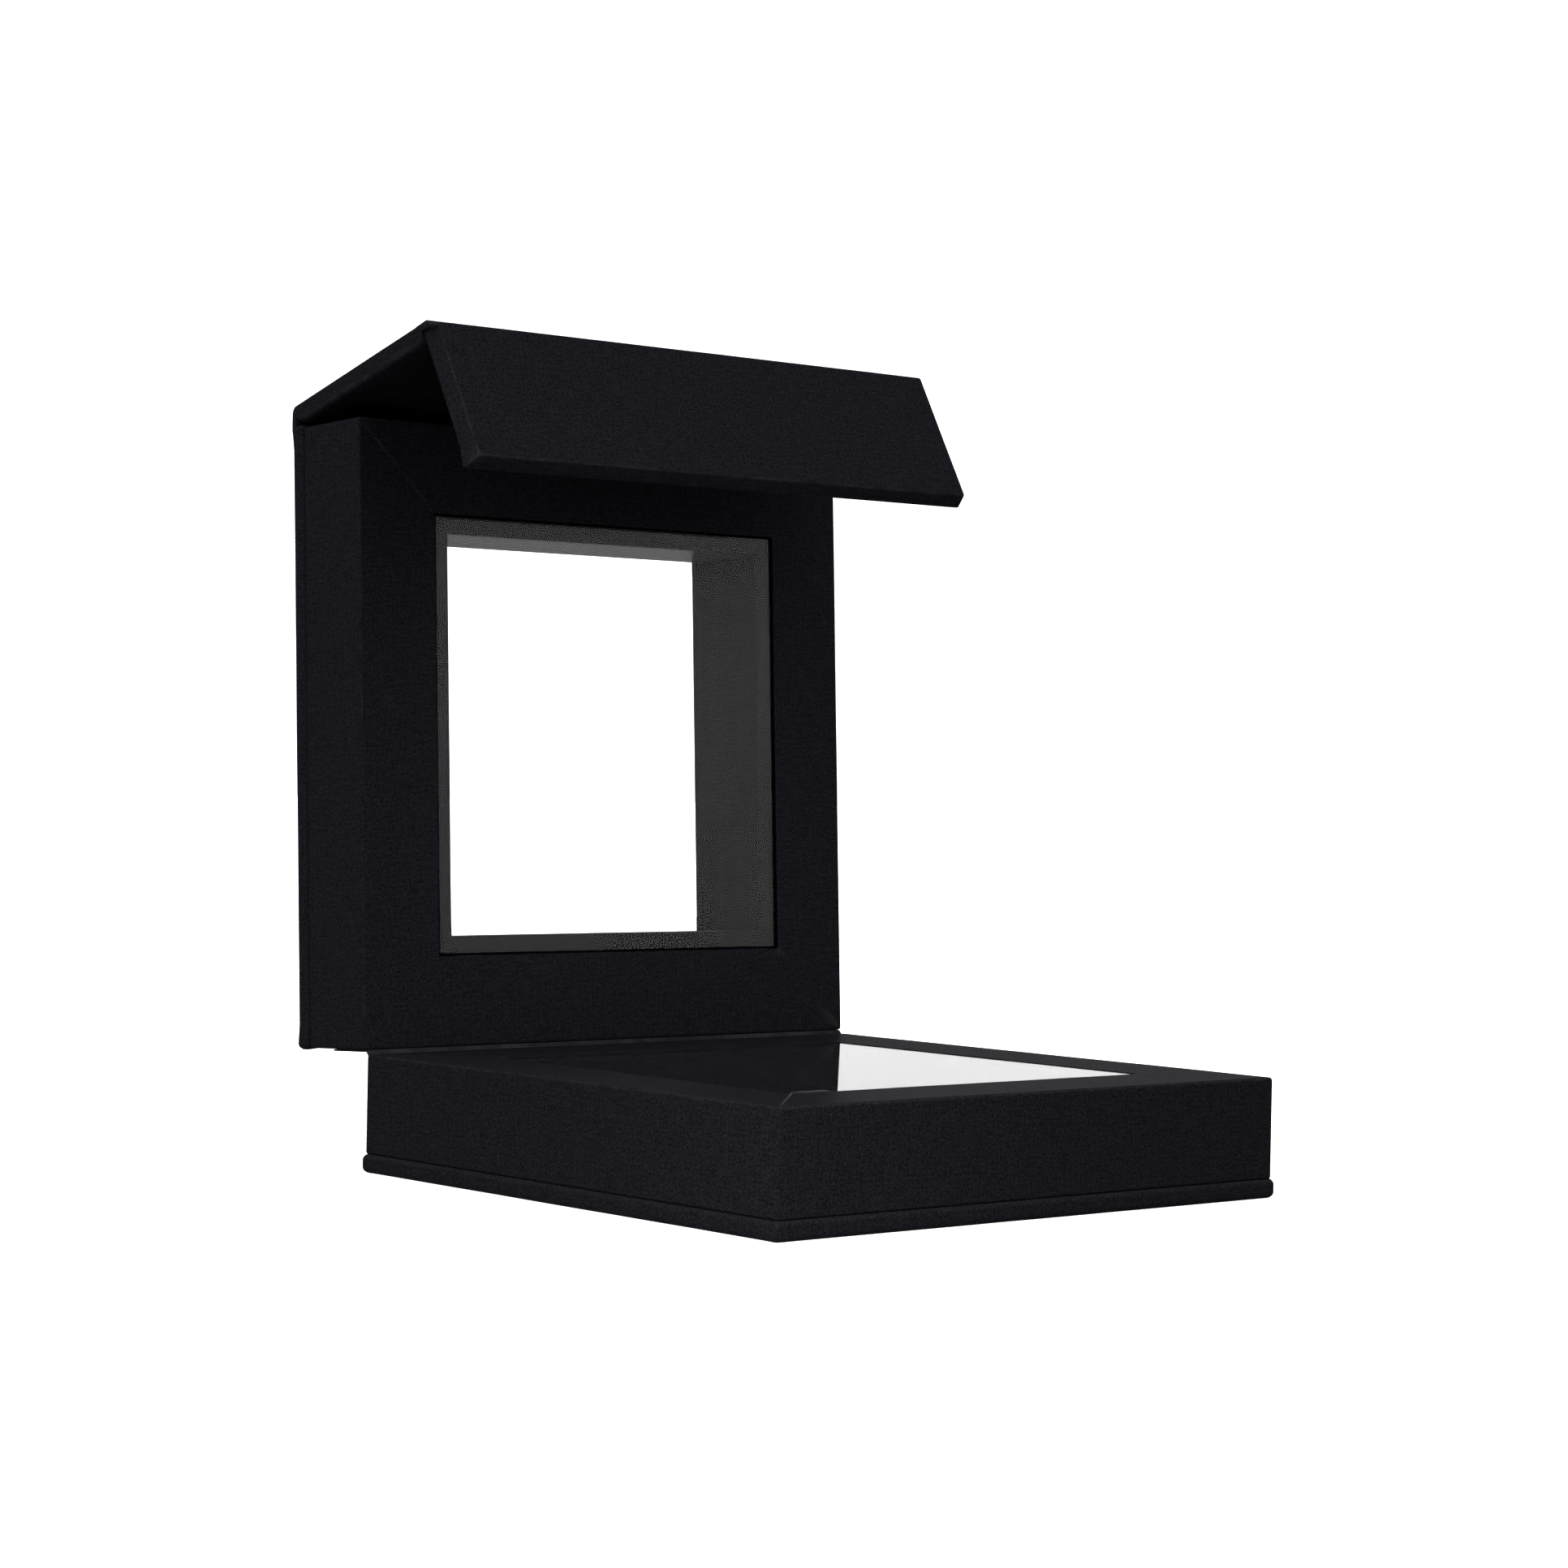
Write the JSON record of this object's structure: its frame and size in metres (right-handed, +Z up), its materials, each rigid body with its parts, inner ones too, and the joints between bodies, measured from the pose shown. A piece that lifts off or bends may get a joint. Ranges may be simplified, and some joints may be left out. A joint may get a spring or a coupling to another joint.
{
  "type": "floating display frame",
  "caption": "Small cloth-covered clamshell display case: two windowed halves with stretched clear film, a cloth hinge and a folding magnetic flap, standing open.",
  "frame": {"origin": "centre of the box on the table under the case as it stands open", "axes": "+Z up, +X along the hinge to the right, +Y from the closing side to the hinge"},
  "size_m": [0.101, 0.1248, 0.1323],
  "materials": {
    "black_bookcloth": "fine woven black bookcloth, matt",
    "hinge_cloth": "fine woven black bookcloth, matt",
    "flap_lining": "fine woven black bookcloth, matt",
    "charcoal_liner": "charcoal cloth-covered card, matt",
    "greyboard": "raw greyboard",
    "clear_film": "clear glossy film",
    "magnet_steel": "nickel-plated disc"
  },
  "bodies": {
    "base": {"base_cover_board": "greyboard", "base_cover_cloth": "black_bookcloth", "base_wall_front": "greyboard", "base_wall_rear": "greyboard", "base_wall_left": "greyboard", "base_wall_right": "greyboard", "base_face_card": "charcoal_liner", "base_frame_cloth": "black_bookcloth", "base_film": "clear_film", "base_liner_front": "charcoal_liner", "base_liner_rear": "charcoal_liner", "base_liner_left": "charcoal_liner", "base_liner_right": "charcoal_liner", "base_hinge_leaf": "hinge_cloth", "base_magnets": "magnet_steel"},
    "hinge_strip": {"hinge_cloth": "hinge_cloth"},
    "lid": {"lid_cover_board": "greyboard", "lid_cover_cloth": "black_bookcloth", "lid_wall_front": "greyboard", "lid_wall_rear": "greyboard", "lid_wall_left": "greyboard", "lid_wall_right": "greyboard", "lid_face_card": "charcoal_liner", "lid_frame_cloth": "black_bookcloth", "lid_film": "clear_film", "lid_liner_front": "charcoal_liner", "lid_liner_rear": "charcoal_liner", "lid_liner_left": "charcoal_liner", "lid_liner_right": "charcoal_liner", "lid_hinge_leaf": "hinge_cloth"},
    "spine_panel": {"spine_board": "greyboard", "spine_cloth": "black_bookcloth", "spine_lining": "flap_lining"},
    "closing_panel": {"closing_board": "greyboard", "closing_cloth": "black_bookcloth", "closing_lining": "flap_lining", "closing_magnets": "magnet_steel"}
  },
  "joints": [
    {"name": "hinge_lower_bend", "type": "hinge", "parent": "base", "child": "hinge_strip", "pos_m": [0, 0.0383, 0.01825], "axis": [-1, 0, 0], "range_deg": [-46.45, 43.55]},
    {"name": "hinge_upper_bend", "type": "hinge", "parent": "hinge_strip", "child": "lid", "pos_m": [0, 0.03895, 0.01887], "axis": [-1, 0, 0], "range_deg": [-46.45, 43.55]},
    {"name": "flap_hinge", "type": "hinge", "parent": "lid", "child": "spine_panel", "pos_m": [0, 0.06205, 0.12118], "axis": [-1, 0, 0], "range_deg": [-12.5, 77.5]},
    {"name": "closing_fold", "type": "hinge", "parent": "spine_panel", "child": "closing_panel", "pos_m": [0, 0.0231, 0.13191], "axis": [-1, 0, 0], "range_deg": [-14, 76]}
  ]
}
